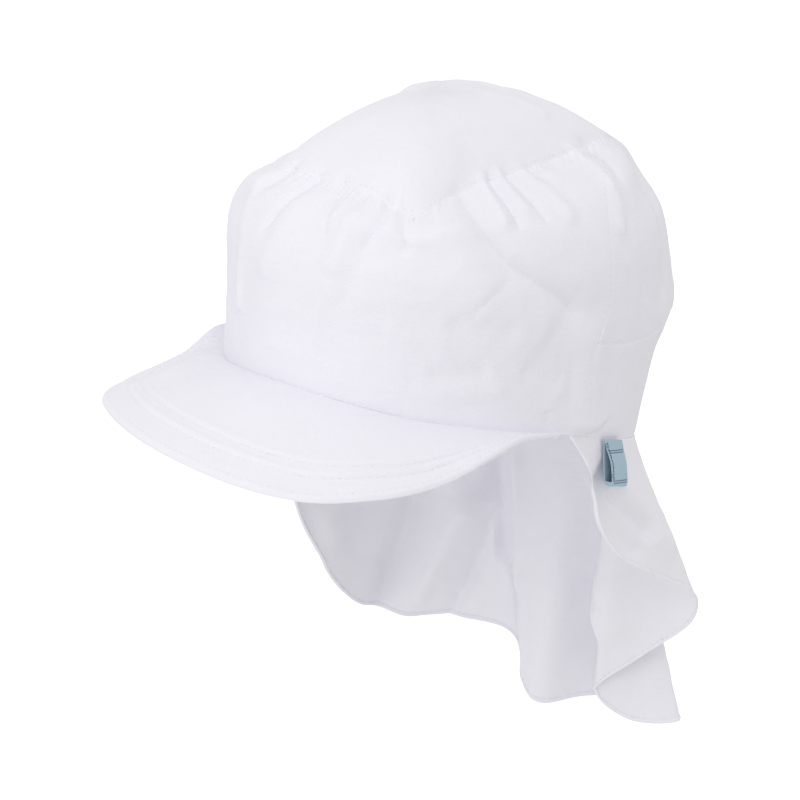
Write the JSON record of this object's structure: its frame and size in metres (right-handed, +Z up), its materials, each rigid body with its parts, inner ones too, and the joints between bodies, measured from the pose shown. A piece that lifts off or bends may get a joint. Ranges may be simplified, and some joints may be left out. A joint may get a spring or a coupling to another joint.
{
  "type": "legionnaire cap",
  "caption": "Child's soft cotton sun cap with a gathered crown, padded peak and neck flap, shaped as it sits on a head.",
  "frame": {"origin": "centre of the head opening, halfway between the rim's front and back", "axes": "+Z up, -Y towards the peak, +X towards the wearer's left"},
  "size_m": [0.1592, 0.2548, 0.2791],
  "materials": {
    "white_cotton": "matt plain weave",
    "label_cloth": "smooth woven ribbon"
  },
  "bodies": {
    "root": {"front_panel": "white_cotton", "back_panel": "white_cotton", "back_band": "white_cotton", "crown_top": "white_cotton", "peak": "white_cotton", "neck_flap": "white_cotton", "side_label": "label_cloth"}
  },
  "joints": []
}
